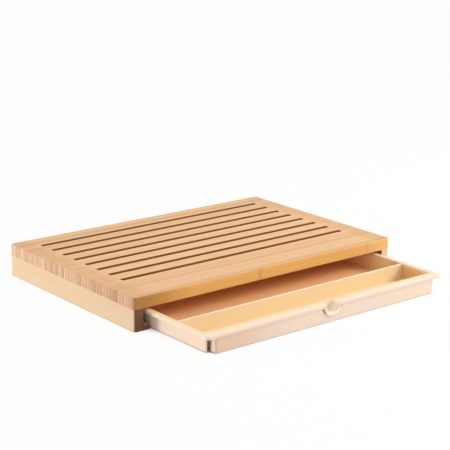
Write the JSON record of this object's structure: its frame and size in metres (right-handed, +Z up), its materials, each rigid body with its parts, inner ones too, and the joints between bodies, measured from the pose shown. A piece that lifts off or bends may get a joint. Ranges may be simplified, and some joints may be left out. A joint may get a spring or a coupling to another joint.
{
  "type": "bread board",
  "caption": "Slotted bamboo bread board on a low open-fronted base, with a plastic crumb tray that slides out under it.",
  "frame": {"origin": "on the table, at the middle of the whole footprint with the tray pulled out as shown", "axes": "+X along the board's length, +Y towards its closed back, so the tray comes out towards -Y, +Z up"},
  "size_m": [0.4, 0.3684, 0.04],
  "materials": {
    "bamboo_top": "oiled satin",
    "bamboo_base": "oiled satin",
    "tray_plastic": "satin, slightly translucent"
  },
  "bodies": {
    "board": {"top_stave_01": "bamboo_top", "top_stave_02": "bamboo_top", "top_stave_03": "bamboo_top", "top_stave_04": "bamboo_top", "top_stave_05": "bamboo_top", "top_stave_06": "bamboo_top", "top_stave_07": "bamboo_top", "top_stave_08": "bamboo_top", "top_stave_09": "bamboo_top", "top_stave_10": "bamboo_top", "top_stave_11": "bamboo_top", "left_rail": "bamboo_base", "right_rail": "bamboo_base", "back_rail": "bamboo_base", "left_lip": "bamboo_base", "right_lip": "bamboo_base"},
    "crumb_tray": {"tray": "tray_plastic"}
  },
  "joints": [
    {"name": "tray_slide", "type": "slide", "parent": "board", "child": "crumb_tray", "axis": [0, -1, 0], "range_m": [-0.106, 0.11]}
  ]
}
